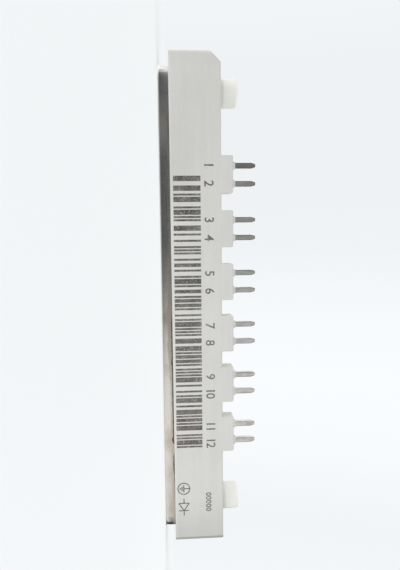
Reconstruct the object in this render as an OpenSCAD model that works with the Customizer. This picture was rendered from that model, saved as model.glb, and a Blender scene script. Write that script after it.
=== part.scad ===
// Three-phase power switch module.
// A flat metal base plate carries a moulded frame with two rows of solder pins.
// Inside, three ceramic tiles hold the switch and diode dies under soft gel and a lid.
// The origin is the centre of the base plate's mounting face. +X runs along the
// length, +Z towards the pins. The control pins stand in the row at -Y, the
// power pins in the row at +Y.

/* [Frame] */
// Length of the frame along X
frame_l = 107.5; // [97:0.5:118]
// Width of the frame along Y
frame_w = 45; // [41:0.5:52]
// Height of the frame's top face above the mounting face
frame_top = 13.1; // [12.2:0.1:18]
// Height of the frame's lower rim above the mounting face
rim_z = 2.2; // [1:0.1:2.6]
// Thickness of the long side walls, which hold the pins
wall_t = 3.1; // [2.6:0.1:3.8]
// Radius of the frame's upright edges
frame_r = 1; // [0.5:0.1:2.5]
// Rounding of the frame's long edges
edge_r = 0.45; // [0.2:0.05:0.9]
// Leg of the sloping edge that marks the first end
end_bevel = 2.5; // [1:0.1:4]
// Width of the shelf that carries the pins' bond feet
shelf_w = 2.5; // [2:0.1:3.2]
// Height of that shelf above the mounting face
shelf_z = 7; // [6:0.1:7.6]

/* [Mounting holes and standoffs] */
// Diameter of the two screw holes in the base plate
hole_d = 5.5; // [4.3:0.1:6.5]
// Distance from a screw hole's axis to the frame's end
hole_inset = 7.25; // [7:0.05:8]
// Diameter of the well for the screw head and washer
well_d = 10.6; // [9:0.1:11]
// Thickness of the wall between a well and the cavity
well_wall = 1.6; // [1.2:0.1:2]
// Diameter of the four board standoffs
post_d = 6.1; // [5:0.1:7]
// Height of the standoffs above the frame's top face
post_h = 3.9; // [1:0.1:6]
// Distance from a standoff's axis to the frame's long side
post_inset = 6.3; // [5.5:0.1:7]
// Diameter of the pilot hole for a board screw
pilot_d = 2.5; // [1.8:0.1:3]
// Depth of the pilot hole below the standoff's top
pilot_depth = 8.5; // [4:0.1:10]

/* [Base plate] */
// Distance from the base plate's end to the frame's end
plate_inset_l = 2.1; // [1.2:0.1:2.6]
// Distance from the base plate's long side to the frame's long side
plate_inset_w = 0.85; // [0.7:0.05:1.5]
// Thickness of the base plate
plate_t = 3; // [2.8:0.1:3.6]
// Corner radius of the base plate
plate_r = 3.5; // [1:0.1:5]
// Break of the base plate's lower edge
plate_edge = 0.35; // [0.1:0.05:0.8]
// Thickness of the adhesive seal between plate and frame
seal_t = 0.2; // [0.1:0.05:0.4]
// Width of the adhesive seal
seal_w = 2.2; // [1:0.1:3]
// Clearance between the base plate's side and the frame's rim
rim_gap = 0.15; // [0.05:0.05:0.4]

/* [Pins] */
// Distance between the two pins of a pair, which is the board's grid
pin_pitch = 3.81; // [3:0.01:4.2]
// Width of a pin along X
pin_w = 1.15; // [0.8:0.05:1.3]
// Thickness of a pin along Y
pin_t = 1; // [0.6:0.05:1.1]
// Distance from a pin's axis to the frame's long side
pin_inset = 1.5; // [1.3:0.05:1.7]
// Height of the pin tips above the bosses
pin_h = 4.9; // [2:0.1:10]
// Length of a pin's tapered tip
tip_l = 0.9; // [0.3:0.1:1.5]
// Share of the pin's width that is left at its end
tip_share = 0.55; // [0.3:0.05:0.9]
// Thickness of a pin's bond foot
foot_t = 0.8; // [0.5:0.05:1]
// Number of pin pairs in the control row
control_pairs = 6; // [2:2:6]
// Distance between two pin pairs in the control row
control_pitch = 11.43; // [10.5:0.01:11.7]
// Number of pin pairs in the power row
power_pairs = 5; // [1:1:5]
// Distance between two pin pairs in the power row
power_pitch = 15.24; // [13:0.01:15.6]

/* [Pin bosses] */
// Length of a boss along X
boss_l = 7.9; // [6.6:0.1:8.6]
// Height of a boss above the frame's top face
boss_h = 2.5; // [1:0.1:4]
// Width of the collar's wall round each pin at its foot
collar_foot = 0.3; // [0.15:0.05:0.4]
// Width of the collar's wall at its rim
collar_rim = 0.12; // [0.08:0.02:0.14]
// Height of the collar
collar_h = 0.5; // [0.2:0.1:1]

/* [Lid] */
// Thickness of the lid
lid_t = 1.5; // [1:0.1:2]
// Clearance round the lid
lid_gap = 0.12; // [0.05:0.01:0.3]
// Corner radius of the lid
lid_r = 1.2; // [0.6:0.1:3]
// Width of the ledge that the lid rests on
lid_ledge = 1.1; // [0.8:0.1:1.4]
// Depth of the lid's locating lip and ribs
lip_h = 1; // [0.4:0.1:1.2]
// Thickness of the locating lip and ribs
lip_t = 1; // [0.6:0.1:1.5]
// Air space between the gel and the lid's lip
gel_gap = 0.5; // [0.2:0.1:0.8]

/* [Circuit] */
// Gap between two ceramic tiles
tile_gap = 2.6; // [1:0.1:3]
// Gap between a tile and the frame's shelf
tile_side_gap = 0.8; // [0.4:0.1:1.2]
// Thickness of a ceramic tile
ceramic_t = 0.6; // [0.3:0.05:0.8]
// Thickness of the copper on both faces of a tile
copper_t = 0.3; // [0.2:0.05:0.4]
// Thickness of the solder under a tile
solder_t = 0.2; // [0.1:0.05:0.3]
// Bare rim of the ceramic round its copper
copper_rim = 0.3; // [0.2:0.05:0.8]
// Gap etched between two copper areas
copper_gap = 0.8; // [0.5:0.05:1]
// Length along Y of the small pads beside the control pins
pad_l = 4; // [3:0.1:4.6]
// Length along Y of the landing strips beside the power pins
strip_l = 5; // [4:0.1:5.6]
// Side of a square switch die
switch_w = 7; // [5:0.1:8]
// Side of a square diode die
diode_w = 4.8; // [4:0.1:6]
// Thickness of a die
die_t = 0.25; // [0.1:0.01:0.35]
// Distance from a die's edge to the end of its copper area
die_rim = 0.8; // [0.4:0.1:1.1]

/* [Bond wires] */
// Diameter of a bond wire
wire_d = 0.3; // [0.15:0.05:0.4]
// Distance between two wires of a row
wire_pitch = 1.2; // [0.8:0.1:1.6]
// Number of wires in a row across the dies
wires_in_row = 3; // [1:1:3]
// Rise of a level wire's arch above its chord
wire_rise = 1; // [0.6:0.05:1.3]
// Length of the flattened end of a wire
wedge_l = 0.9; // [0.6:0.05:1.1]

/* [Hidden] */
$fn = 48;
hull_fn = 32;

// Small lengths that only finish an edge or let a cut run clear of a face
cut = 1;
post_edge = 0.35;
pilot_mouth = 0.3;
foot_margin = 0.3;
wedge_w = 1.5 * wire_d;
wedge_t = 0.9 * wire_d;

// Heights, from the mounting face upwards
seat_z = plate_t + seal_t;
solder_top = plate_t + solder_t;
back_top = solder_top + copper_t;
ceramic_top = back_top + ceramic_t;
copper_top = ceramic_top + copper_t;
die_top = copper_top + die_t;
foot_top = shelf_z + foot_t;
lid_seat = frame_top - lid_t;
gel_top = lid_seat - lip_h - gel_gap;
boss_top = frame_top + boss_h;
post_top = frame_top + post_h;
pin_top = boss_top + pin_h;

// Plan sizes
plate_l = frame_l - 2 * plate_inset_l;
plate_w = frame_w - 2 * plate_inset_w;
hole_x = frame_l / 2 - hole_inset;
post_y = frame_w / 2 - post_inset;
pin_y = frame_w / 2 - pin_inset;
lid_pocket_l = 2 * (hole_x - well_d / 2 - well_wall);
lid_pocket_w = frame_w - 2 * wall_t;
cavity_l = lid_pocket_l - 2 * lid_ledge;
cavity_w = lid_pocket_w - 2 * lid_ledge;
shelf_y = cavity_w / 2 - shelf_w;

// Each tile serves two pairs of control pins
tile_count = control_pairs / 2;
tile_pitch = 2 * control_pitch;
tile_w = tile_pitch - tile_gap;
tile_l = 2 * (shelf_y - tile_side_gap);
copper_w = tile_w - 2 * copper_rim;
copper_l = tile_l - 2 * copper_rim;
half_w = (copper_w - copper_gap) / 2;
half_x = (half_w + copper_gap) / 2;
pad_w = (half_w - copper_gap) / 2;
pad_x = (pad_w + copper_gap) / 2;
pad_y = (pad_l - copper_l) / 2;
strip_y = (copper_l - strip_l) / 2;
area_y0 = -copper_l / 2 + pad_l + copper_gap;
area_y1 = copper_l / 2 - strip_l - copper_gap;
switch_y = area_y0 + die_rim + switch_w / 2;
diode_y = area_y1 - die_rim - diode_w / 2;

// Centres along X of everything that repeats
function row(count, pitch) = [for (i = [0:count - 1]) (i - (count - 1) / 2) * pitch];
function pairs(centres, gap) = [for (c = centres) for (side = [-1, 1]) c + side * gap / 2];
control_bosses = row(control_pairs, control_pitch);
power_bosses = row(power_pairs, power_pitch);
control_x = pairs(control_bosses, pin_pitch);
power_x = pairs(power_bosses, pin_pitch);
tile_x = row(tile_count, tile_pitch);
halves = [-1, 1];

// Node names
PHASES = ["u", "v", "w"];
SIDES = ["high", "low"];
CONTROL_NODES = [for (i = [1:len(control_x)]) str("control_pin_", i)];
POWER_NODES = [for (i = [1:len(power_x)]) str("power_pin_", i)];
TILE_LAYERS = ["solder", "back_copper", "ceramic", "top_copper", "bond_wires"];
TILE_NODES = [for (i = [0:tile_count - 1]) for (layer = TILE_LAYERS) str(layer, "_", PHASES[i])];
DIE_NODES = [
    for (i = [0:tile_count - 1]) for (side = SIDES) for (die = ["switch_die", "diode_die"])
        str(die, "_", PHASES[i], "_", side)
];

// ---------------------------------------------------------------- shared shapes

// Rectangle about the origin with round corners
module round_rect(length, width, r) {
    square([length - 2 * r, width], center = true);
    square([length, width - 2 * r], center = true);
    for (x = [-1, 1], y = [-1, 1])
        translate([x * (length / 2 - r), y * (width / 2 - r)]) circle(r = r);
}

// Extrudes a drawing in X and Z along Y, centred on y = 0
module along_y(depth) {
    rotate([90, 0, 0]) linear_extrude(depth, center = true) children();
}

// Extrudes a drawing in Y and Z along X, centred on x = 0
module along_x(depth) {
    rotate([90, 0, 90]) linear_extrude(depth, center = true) children();
}

// Block from z0 to z1 with rounded edges all round
module soft_block(length, width, z0, z1, r) {
    mid = (z0 + z1) / 2;
    intersection() {
        along_y(width) translate([0, mid]) round_rect(length, z1 - z0, r);
        along_x(length) translate([0, mid]) round_rect(width, z1 - z0, r);
    }
}

// Four-sided block standing on z = 0 that narrows upwards
module tapered_block(foot, rim, height) {
    intersection() {
        along_y(2 * foot.y) taper_outline(foot.x, rim.x, height);
        along_x(2 * foot.x) taper_outline(foot.y, rim.y, height);
    }
}

module taper_outline(foot, rim, height) {
    polygon([[-foot / 2, 0], [foot / 2, 0], [rim / 2, height], [-rim / 2, height]]);
}

// Flips its children to the row at +Y when side is 1; they are drawn for the row at -Y
module to_row(side) {
    mirror([0, side > 0 ? 1 : 0, 0]) children();
}

// ---------------------------------------------------------------- base plate and seal

module base_plate() {
    corner_x = plate_l / 2 - plate_r;
    corner_y = plate_w / 2 - plate_r;
    color([0.74, 0.72, 0.68])
    difference() {
        hull()
            for (x = [-corner_x, corner_x], y = [-corner_y, corner_y])
                translate([x, y, 0]) plate_corner();
        for (x = [-hole_x, hole_x])
            translate([x, 0, -cut]) cylinder(h = plate_t + 2 * cut, d = hole_d);
    }
}

// Round puck with a broken lower edge
module plate_corner() {
    cylinder(h = plate_edge, r1 = plate_r - plate_edge, r2 = plate_r, $fn = hull_fn);
    translate([0, 0, plate_edge]) cylinder(h = plate_t - plate_edge, r = plate_r, $fn = hull_fn);
}

module frame_seal() {
    color([0.35, 0.33, 0.3])
    translate([0, 0, plate_t]) linear_extrude(seal_t)
        difference() {
            round_rect(plate_l, plate_w, plate_r);
            round_rect(plate_l - 2 * seal_w, plate_w - 2 * seal_w, max(plate_r - seal_w, edge_r));
        }
}

// ---------------------------------------------------------------- frame

module frame() {
    color([0.8, 0.8, 0.77])
    difference() {
        union() {
            frame_body();
            boss_row(control_bosses, -1);
            boss_row(power_bosses, 1);
            for (x = [-hole_x, hole_x], y = [-post_y, post_y]) translate([x, y, 0]) post();
        }
        plate_rebate();
        cavity();
        for (x = [-hole_x, hole_x]) translate([x, 0, 0]) cylinder(h = frame_top + cut, d = well_d);
        for (x = [-hole_x, hole_x], y = [-post_y, post_y]) translate([x, y, 0]) pilot_hole();
        pin_rows();
    }
}

// Outer block: rounded in plan and along its edges, sloped at the first end
module frame_body() {
    mid = (rim_z + frame_top) / 2;
    height = frame_top - rim_z;
    intersection() {
        translate([0, 0, rim_z]) linear_extrude(height) round_rect(frame_l, frame_w, frame_r);
        along_x(frame_l + cut) translate([0, mid]) round_rect(frame_w, height, edge_r);
        along_y(frame_w + cut) difference() {
            translate([0, mid]) round_rect(frame_l, height, edge_r);
            translate([-frame_l / 2, frame_top]) rotate(45) square(end_bevel * sqrt(2), center = true);
        }
    }
}

// Row of bosses, flush with the frame's long side, with their pins' collars
module boss_row(centres, side) {
    to_row(side)
        for (x = centres) {
            translate([x, (wall_t - frame_w) / 2, 0])
                soft_block(boss_l, wall_t, frame_top - cut, boss_top, edge_r);
            for (pin_x = pairs([x], pin_pitch))
                translate([pin_x, -pin_y, boss_top])
                    tapered_block(
                        [pin_w + 2 * collar_foot, pin_t + 2 * collar_foot],
                        [pin_w + 2 * collar_rim, pin_t + 2 * collar_rim],
                        collar_h
                    );
        }
}

// Board standoff with a broken rim
module post() {
    radius = post_d / 2;
    rotate_extrude()
        polygon([
            [0, frame_top - cut], [radius, frame_top - cut], [radius, post_top - post_edge],
            [radius - post_edge, post_top], [0, post_top]
        ]);
}

module pilot_hole() {
    radius = pilot_d / 2;
    translate([0, 0, post_top - pilot_depth]) cylinder(h = pilot_depth + cut, r = radius);
    translate([0, 0, post_top - pilot_mouth])
        cylinder(h = pilot_mouth, r1 = radius, r2 = radius + pilot_mouth);
}

// Step in the underside that the base plate and its seal sit in
module plate_rebate() {
    translate([0, 0, rim_z - cut]) linear_extrude(seat_z - rim_z + cut)
        round_rect(plate_l + 2 * rim_gap, plate_w + 2 * rim_gap, plate_r + rim_gap);
}

// Lid pocket, the gel's space and the tiles' well, from the top down
module cavity() {
    translate([0, 0, lid_seat]) linear_extrude(lid_t + cut)
        round_rect(lid_pocket_l, lid_pocket_w, lid_r);
    translate([0, 0, shelf_z]) linear_extrude(lid_seat - shelf_z + cut)
        round_rect(cavity_l, cavity_w, lid_r);
    translate([0, 0, rim_z]) linear_extrude(shelf_z - rim_z + cut)
        round_rect(cavity_l, 2 * shelf_y, lid_r);
}

module pin_rows() {
    for (x = control_x) pin(x, -1);
    for (x = power_x) pin(x, 1);
}

// ---------------------------------------------------------------- pins

// Angled pin: a bond foot on the shelf and a leg up through the wall to the tip
module pin(x, side) {
    outer = -pin_y - pin_t / 2;
    inner = -pin_y + pin_t / 2;
    tip = pin_t * tip_share / 2;
    shoulder = pin_top - tip_l;
    color([0.62, 0.62, 0.6])
    to_row(side) translate([x, 0, 0])
        intersection() {
            along_x(pin_w) polygon([
                [outer, shelf_z], [-shelf_y - foot_margin, shelf_z], [-shelf_y - foot_margin, foot_top],
                [inner, foot_top], [inner, shoulder], [-pin_y + tip, pin_top],
                [-pin_y - tip, pin_top], [outer, shoulder]
            ]);
            along_y(frame_w + cut) polygon([
                [-pin_w / 2, shelf_z], [pin_w / 2, shelf_z], [pin_w / 2, shoulder],
                [pin_w * tip_share / 2, pin_top], [-pin_w * tip_share / 2, pin_top],
                [-pin_w / 2, shoulder]
            ]);
        }
}

// ---------------------------------------------------------------- lid and gel

module lid() {
    lip_l = cavity_l - 2 * lid_gap;
    lip_w = cavity_w - 2 * lid_gap;
    inner_r = max(lid_r - lip_t, edge_r);
    color([0.83, 0.83, 0.8]) {
        translate([0, 0, lid_seat]) linear_extrude(lid_t)
            round_rect(lid_pocket_l - 2 * lid_gap, lid_pocket_w - 2 * lid_gap, lid_r);
        translate([0, 0, lid_seat - lip_h]) linear_extrude(lip_h) {
            difference() {
                round_rect(lip_l, lip_w, lid_r);
                round_rect(lip_l - 2 * lip_t, lip_w - 2 * lip_t, inner_r);
            }
            square([lip_l - lip_t, lip_t], center = true);
            for (x = row(tile_count - 1, tile_pitch))
                translate([x, 0]) square([lip_t, lip_w - lip_t], center = true);
        }
    }
}

// Soft fill that covers the whole circuit up to just under the lid
module gel_fill() {
    color([0.85, 0.88, 0.9, 0.4])
    difference() {
        union() {
            translate([0, 0, plate_t]) linear_extrude(shelf_z - plate_t)
                round_rect(cavity_l, 2 * shelf_y, lid_r);
            translate([0, 0, shelf_z]) linear_extrude(gel_top - shelf_z)
                round_rect(cavity_l, cavity_w, lid_r);
        }
        for (i = [0:tile_count - 1]) {
            tile_stack(i);
            bond_wires(i);
        }
        frame_seal();
        pin_rows();
    }
}

// ---------------------------------------------------------------- circuit

// Places its children on tile number i
module on_tile(i, z) {
    translate([tile_x[i], 0, z]) children();
}

module tile_stack(i) {
    solder(i);
    back_copper(i);
    ceramic(i);
    top_copper(i);
    for (half = halves) {
        switch_die(i, half);
        diode_die(i, half);
    }
}

module slab(length, width, thickness) {
    linear_extrude(thickness) square([length, width], center = true);
}

module solder(i) {
    color([0.6, 0.6, 0.62]) on_tile(i, plate_t) slab(copper_w, copper_l, solder_t);
}

module back_copper(i) {
    color([0.8, 0.5, 0.34]) on_tile(i, solder_top) slab(copper_w, copper_l, copper_t);
}

module ceramic(i) {
    color([0.93, 0.93, 0.9]) on_tile(i, back_top) slab(tile_w, tile_l, ceramic_t);
}

// Etched areas: two die areas, two landing strips and four small pads
module top_copper(i) {
    area_l = area_y1 - area_y0;
    color([0.8, 0.5, 0.34])
    on_tile(i, ceramic_top)
        for (half = halves) translate([half * half_x, 0, 0]) {
            translate([0, (area_y0 + area_y1) / 2, 0]) slab(half_w, area_l, copper_t);
            translate([0, strip_y, 0]) slab(half_w, strip_l, copper_t);
            for (side = [-1, 1]) translate([side * pad_x, pad_y, 0]) slab(pad_w, pad_l, copper_t);
        }
}

module switch_die(i, half) {
    color([0.45, 0.47, 0.5])
    on_tile(i, copper_top) translate([half * half_x, switch_y, 0]) slab(switch_w, switch_w, die_t);
}

module diode_die(i, half) {
    color([0.5, 0.5, 0.46])
    on_tile(i, copper_top) translate([half * half_x, diode_y, 0]) slab(diode_w, diode_w, die_t);
}

// All the wires that land on tile number i
module bond_wires(i) {
    left = tile_x[i] - tile_w / 2;
    right = tile_x[i] + tile_w / 2;
    wedge_y = cavity_w / 2 - shelf_w / 2;
    color([0.85, 0.85, 0.86]) {
        for (half = halves, k = row(wires_in_row, wire_pitch)) {
            x = tile_x[i] + half * half_x + k;
            wire(x, switch_y + switch_w / 4, die_top, diode_y - diode_w / 5, die_top);
            wire(x, diode_y + diode_w / 5, die_top, strip_y - strip_l / 4, copper_top);
        }
        for (half = halves, side = [-1, 1]) {
            x = tile_x[i] + half * half_x + side * pad_x;
            wire(x, pad_y + pad_l / 4, copper_top, switch_y - switch_w / 2 + wedge_l, die_top);
        }
        for (x = control_x)
            if (x > left && x < right) wire(x, -wedge_y, foot_top, pad_y - pad_l / 4, copper_top);
        for (x = power_x)
            if (x > left && x < right) wire(x, strip_y + strip_l / 4, copper_top, wedge_y, foot_top);
    }
}

// One wire along Y, from one surface to another, with a flattened wedge at each end.
// A quarter of the step between its ends is added to its rise, so that it leaves the
// higher end upwards.
module wire(x, y0, z0, y1, z1) {
    chord = norm([y1 - y0, z1 - z0]);
    tilt = atan2(z1 - z0, y1 - y0);
    rise = wire_rise + abs(z1 - z0) / 4;
    radius = (chord * chord / 4 + rise * rise) / (2 * rise);
    half_angle = asin(chord / (2 * radius));
    translate([x, y0, z0 + wedge_t * 2 / 3]) rotate([tilt, 0, 0])
        translate([0, chord / 2, rise - radius])
            rotate([90, 0, 90]) rotate([0, 0, 90 - half_angle])
                rotate_extrude(angle = 2 * half_angle, $fn = hull_fn)
                    translate([radius, 0]) circle(d = wire_d, $fn = 16);
    for (end = [[y0, z0], [y1, z1]])
        translate([x, end.x, end.y]) slab(wedge_w, wedge_l, wedge_t);
}

// ---------------------------------------------------------------- nodes

base_plate();
frame();
frame_seal();
lid();
gel_fill();
for (i = [0:tile_count - 1]) {
    solder(i);
    back_copper(i);
    ceramic(i);
    top_copper(i);
    bond_wires(i);
    for (k = [0, 1]) {
        name = str("_die_", PHASES[i], "_", SIDES[k]);
        switch_die(i, halves[k]);
        diode_die(i, halves[k]);
    }
}
for (i = [0:len(control_x) - 1])
    pin(control_x[i], -1);
for (i = [0:len(power_x) - 1])
    pin(power_x[i], 1);
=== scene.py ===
"""Looks of a three-phase power switch module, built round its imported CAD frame.

The module lies on its base plate. +X runs along its length, +Z towards its pins,
and the control pins stand in the row at -Y. Every size is in metres, unless its
name or its comment says millimetres.

Each finish is a frozen dataclass that makes one material, and each sub-assembly is
a class that builds its pieces and dresses the CAD nodes that stay as they are. The
frame, the base plate and the pins are replaced by copies of their own solids, with
print in the frame's side, a rounded lower edge on the plate and broken edges on the
pins. The studio adds the camera, the table, the tent and one soft spot.
"""

from __future__ import annotations

import logging
import math
import random
from dataclasses import dataclass
from enum import Enum
from typing import Iterable, Optional, Sequence, Union

import bmesh
import bpy
from mathutils import Euler, Matrix, Vector
from mathutils.geometry import delaunay_2d_cdt


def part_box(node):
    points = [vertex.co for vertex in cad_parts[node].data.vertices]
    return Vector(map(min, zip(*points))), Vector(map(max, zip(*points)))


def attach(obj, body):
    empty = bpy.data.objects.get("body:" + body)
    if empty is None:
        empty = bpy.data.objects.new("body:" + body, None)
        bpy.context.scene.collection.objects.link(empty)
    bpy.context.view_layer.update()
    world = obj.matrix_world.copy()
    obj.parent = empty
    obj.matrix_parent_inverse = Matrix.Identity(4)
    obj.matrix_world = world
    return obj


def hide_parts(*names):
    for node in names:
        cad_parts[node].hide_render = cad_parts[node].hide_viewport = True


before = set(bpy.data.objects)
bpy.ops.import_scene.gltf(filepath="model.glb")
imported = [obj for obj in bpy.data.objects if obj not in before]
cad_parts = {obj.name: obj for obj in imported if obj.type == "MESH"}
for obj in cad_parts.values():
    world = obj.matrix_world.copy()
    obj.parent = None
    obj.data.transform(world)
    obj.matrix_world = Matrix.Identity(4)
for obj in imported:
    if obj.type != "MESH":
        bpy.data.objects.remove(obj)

LOG = logging.getLogger("power_switch_module")
MM = 0.001
WELD = 0.0005 * MM
BODY = "root"

Colour = tuple[float, float, float]
Point = tuple[float, float, float]
Span = tuple[float, float]
Steps = tuple[tuple[float, float], ...]
Outline = list[Vector]
Socket = bpy.types.NodeSocket
Material = bpy.types.Material
Feed = Union[float, Sequence[float], Socket]

# Most of a noise's values lie in this range.
NOISE_SPAN: Span = (0.3, 0.7)
# What metal mirrors of the bright and the dark stretches round the module.
MIRROR_BRIGHT: Colour = (1.04, 1.02, 0.99)
MIRROR_DARK: Colour = (0.112, 0.120, 0.124)


class Row(Enum):
    """A row of pins, with its side of the module along Y."""

    CONTROL = -1
    POWER = 1

    def nodes(self) -> list[str]:
        """Finds the row's pin nodes.

        Returns:
            Their names, in order along X.
        """
        prefix = f"{self.name.lower()}_pin_"
        found = [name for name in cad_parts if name.startswith(prefix)]
        return sorted(found, key=lambda name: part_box(name)[0].x)


class Ease(Enum):
    """How a value goes from one end of a range to the other."""

    STRAIGHT = "LINEAR"
    SMOOTH = "SMOOTHSTEP"


# ---------------------------------------------------------------- shader building


class ShaderTree:
    """Builds the node tree of one material or world in short steps."""

    def __init__(self, owner: Union[Material, bpy.types.World]) -> None:
        """Empties the owner's node tree.

        Args:
            owner: The material or world whose nodes are built.
        """
        owner.use_nodes = True
        self.nodes = owner.node_tree.nodes
        self.links = owner.node_tree.links
        self.nodes.clear()

    def feed(self, socket: Socket, value: Feed) -> None:
        """Links or sets one input.

        Args:
            socket: The input.
            value: Another node's output, a number, or a colour or vector.
        """
        if isinstance(value, Socket):
            self.links.new(value, socket)
        elif socket.type == "RGBA":
            socket.default_value = (*value[:3], 1.0)
        else:
            socket.default_value = value

    def node(
        self, kind: str, inputs: dict[Union[str, int], Feed], **settings: object
    ) -> bpy.types.Node:
        """Adds a node.

        Args:
            kind: The node's type name.
            inputs: What goes into its inputs, by name or number.
            **settings: Values for the node's own properties.

        Returns:
            The new node.
        """
        made = self.nodes.new(kind)
        for name, value in settings.items():
            setattr(made, name, value)
        for key, value in inputs.items():
            self.feed(made.inputs[key], value)
        return made

    def place(self) -> Socket:
        """Position on the object, in the frame's own axes."""
        return self.node("ShaderNodeTexCoord", {}).outputs["Object"]

    def axis(self, vector: Socket, name: str) -> Socket:
        """One component, named X, Y or Z, of a vector."""
        return self.node("ShaderNodeSeparateXYZ", {"Vector": vector}).outputs[name]

    def noise(
        self,
        size: float,
        stretch: Sequence[float] = (1, 1, 1),
        detail: float = 3.0,
        shift: float = 0.0,
    ) -> Socket:
        """Cloudy noise from 0 to 1, fixed to the object.

        Args:
            size: Distance between neighbouring blotches.
            stretch: How much longer the blotches are along X, Y and Z.
            detail: How many finer layers are added.
            shift: How far the pattern is moved, in blotches.

        Returns:
            The noise's output.
        """
        scale = [1 / (size * longer) for longer in stretch]
        placed = {"Vector": self.place(), "Scale": scale, "Location": [shift] * 3}
        spot = self.node("ShaderNodeMapping", placed).outputs[0]
        inputs = {"Vector": spot, "Scale": 1.0, "Detail": detail}
        return self.node("ShaderNodeTexNoise", inputs).outputs["Fac"]

    def remap(
        self, value: Feed, source: Span, target: Span = (0.0, 1.0), ease: Ease = Ease.STRAIGHT
    ) -> Socket:
        """Carries a value from one range to another and holds it there.

        Args:
            value: The value.
            source: The range that it comes from.
            target: The range that it goes to.
            ease: How it goes from one end to the other.

        Returns:
            The mapped value.
        """
        inputs = {0: value, 1: source[0], 2: source[1], 3: target[0], 4: target[1]}
        made = self.node("ShaderNodeMapRange", inputs, interpolation_type=ease.value, clamp=True)
        return made.outputs[0]

    def ramp(self, value: Feed, stops: Sequence[tuple[float, float]]) -> Socket:
        """Grey level that goes straight from each stop to the next.

        Args:
            value: Where to read the level.
            stops: Values with the level at each, in order.

        Returns:
            The level's output.
        """
        first, last = stops[0][0], stops[-1][0]
        made = self.node("ShaderNodeValToRGB", {0: self.remap(value, (first, last))})
        points = made.color_ramp.elements
        for place, _ in stops[1:-1]:
            points.new((place - first) / (last - first))
        for point, (_, level) in zip(points, stops):
            point.color = (level, level, level, 1.0)
        return made.outputs[0]

    def profile(self, value: Feed, steps: Steps) -> Socket:
        """Grey level along an axis, from stops whose places are in millimetres."""
        return self.ramp(value, [(place * MM, level) for place, level in steps])

    def maths(self, operation: str, first: Feed, second: Feed = 0.0) -> Socket:
        """One arithmetic step on two values."""
        return self.node("ShaderNodeMath", {0: first, 1: second}, operation=operation).outputs[0]

    def blend(self, share: Feed, first: Feed, second: Feed, how: str = "MIX") -> Socket:
        """Colour that goes from the first to the second as share goes from 0 to 1."""
        inputs = {0: share, 6: first, 7: second}
        return self.node("ShaderNodeMix", inputs, data_type="RGBA", blend_type=how).outputs[2]

    def tinted(self, first: Feed, second: Feed) -> Socket:
        """Product of two colours."""
        return self.blend(1.0, first, second, "MULTIPLY")

    def bump(self, height: Feed, depth: float, under: Optional[Feed] = None) -> Socket:
        """Surface relief.

        Args:
            height: Height from 0 to 1.
            depth: Real depth of that height.
            under: Relief that this one lies on.

        Returns:
            The surface's bent normal.
        """
        inputs = {"Height": height, "Distance": depth}
        if under is not None:
            inputs["Normal"] = under
        return self.node("ShaderNodeBump", inputs).outputs[0]

    def surface(self, **sockets: Feed) -> None:
        """Ends the tree in one Principled surface.

        Args:
            **sockets: Values for the surface's inputs, with _ for each space in a name.
        """
        inputs = {name.replace("_", " "): value for name, value in sockets.items()}
        shader = self.node("ShaderNodeBsdfPrincipled", inputs)
        self.node("ShaderNodeOutputMaterial", {"Surface": shader.outputs[0]})


def scaled(colour: Colour, by: float) -> Colour:
    """A colour made darker or lighter by a factor."""
    return tuple(part * by for part in colour)


# ---------------------------------------------------------------- finishes


@dataclass(frozen=True)
class Finish:
    """What every finish has: a colour, a roughness and the material that it makes."""

    colour: Colour
    roughness: float

    def dress(self, tree: ShaderTree) -> None:
        """Builds the surface's nodes in a new material's empty tree."""
        raise NotImplementedError

    def uneven_roughness(
        self, tree: ShaderTree, patches: Socket, spread: Span
    ) -> Socket:
        """Roughness in patches, from its own less one spread to its own plus the other."""
        target = (self.roughness - spread[0], self.roughness + spread[1])
        return tree.remap(patches, NOISE_SPAN, target)

    def material(self, name: str) -> Material:
        """Makes the finish's material.

        Args:
            name: The material's name.

        Returns:
            The material.
        """
        made = bpy.data.materials.new(name)
        self.dress(ShaderTree(made))
        return made


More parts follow.
